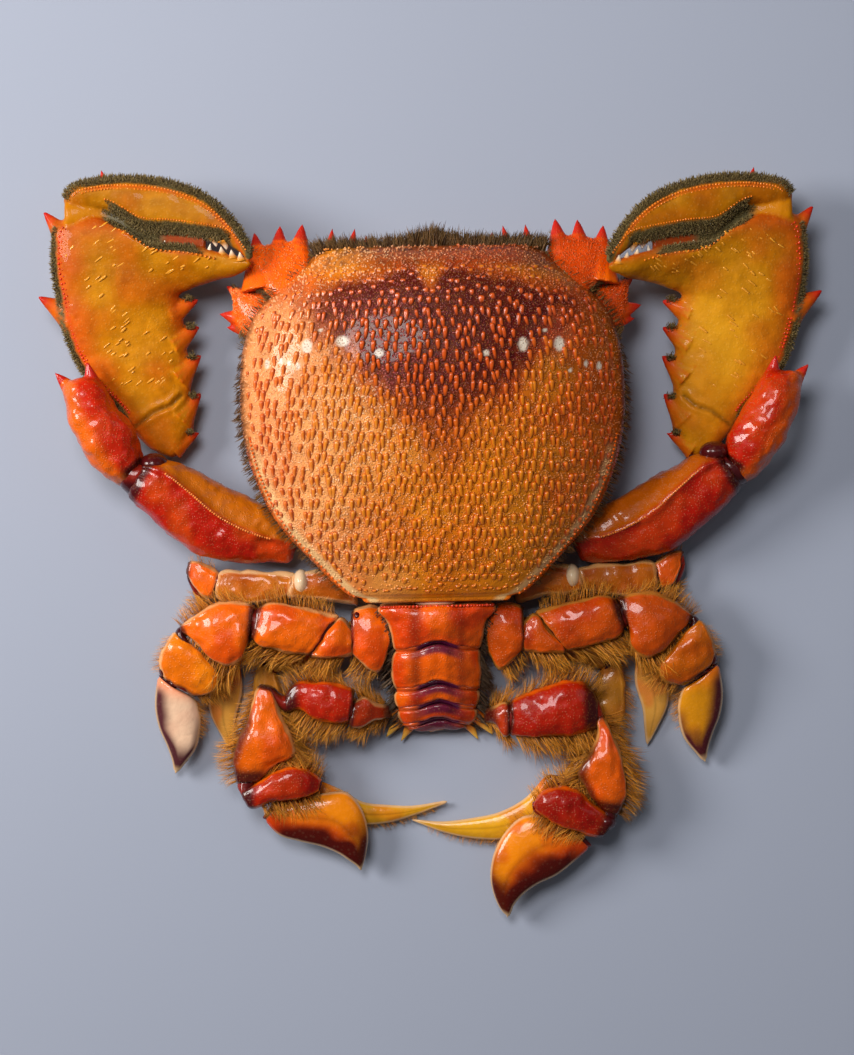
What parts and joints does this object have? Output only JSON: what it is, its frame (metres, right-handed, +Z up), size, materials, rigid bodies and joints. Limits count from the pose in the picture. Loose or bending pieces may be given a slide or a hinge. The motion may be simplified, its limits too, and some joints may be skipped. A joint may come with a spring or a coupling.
{
  "type": "cooked spanner crab",
  "caption": "Whole cooked spanner crab lying back up, with a domed orange shell, two wide flat claws folded forward, paddle legs and a short jointed tail.",
  "frame": {"origin": "on the floor under the middle of the domed shell, on the flat of the underbody that the crab rests on", "axes": "+X to the side of the claw that is right in the picture, +Y towards the front with the eyes, +Z up through the back"},
  "size_m": [0.2604, 0.2506, 0.048],
  "materials": {
    "shell": "wet gloss, stands in for cooked shell",
    "claw_red": "wet gloss, stands in for cooked shell",
    "claw_ochre": "wet gloss, stands in for cooked shell",
    "leg_orange": "wet gloss, stands in for cooked shell",
    "leg_pale": "wet gloss, stands in for cooked shell",
    "leg_horn": "wet gloss, stands in for horny blades",
    "tail_red": "wet gloss, stands in for cooked shell",
    "under_pale": "damp satin, stands in for pale underside shell"
  },
  "bodies": {
    "root": {"carapace": "shell", "claw_arm_left": "claw_red", "claw_arm_right": "claw_red", "claw_finger_left": "claw_ochre", "claw_finger_right": "claw_ochre", "claw_palm_left": "claw_ochre", "claw_palm_right": "claw_ochre", "claw_wrist_left": "claw_red", "claw_wrist_right": "claw_red", "eye_stalk_left": "under_pale", "eye_stalk_right": "under_pale", "fifth_blade_left": "leg_horn", "fifth_blade_right": "leg_horn", "fifth_foot_left": "leg_orange", "fifth_foot_right": "leg_orange", "fifth_hip_left": "leg_orange", "fifth_hip_right": "leg_orange", "fifth_shin_left": "leg_orange", "fifth_shin_right": "leg_orange", "fifth_thigh_left": "leg_orange", "fifth_thigh_right": "leg_orange", "fourth_blade_left": "leg_horn", "fourth_blade_right": "leg_horn", "fourth_foot_left": "leg_orange", "fourth_foot_right": "leg_orange", "fourth_hip_left": "leg_orange", "fourth_hip_right": "leg_orange", "fourth_knee_left": "leg_orange", "fourth_knee_right": "leg_orange", "fourth_shin_left": "leg_orange", "fourth_shin_right": "leg_orange", "fourth_thigh_left": "leg_orange", "fourth_thigh_right": "leg_orange", "mouth_cover_left": "under_pale", "mouth_cover_right": "under_pale", "second_base_left": "leg_pale", "second_base_right": "leg_pale", "second_blade_left": "leg_horn", "second_blade_right": "leg_horn", "second_foot_left": "leg_orange", "second_foot_right": "leg_orange", "second_shin_left": "leg_orange", "second_shin_right": "leg_orange", "second_thigh_left": "leg_pale", "second_thigh_right": "leg_pale", "tail_1": "tail_red", "tail_2": "tail_red", "tail_3": "tail_red", "tail_4": "tail_red", "tail_5": "tail_red", "third_blade_left": "leg_horn", "third_blade_right": "leg_horn", "third_shin_left": "leg_orange", "third_shin_right": "leg_orange", "third_thigh_left": "leg_orange", "third_thigh_right": "leg_orange", "underbody": "under_pale"}
  },
  "joints": []
}
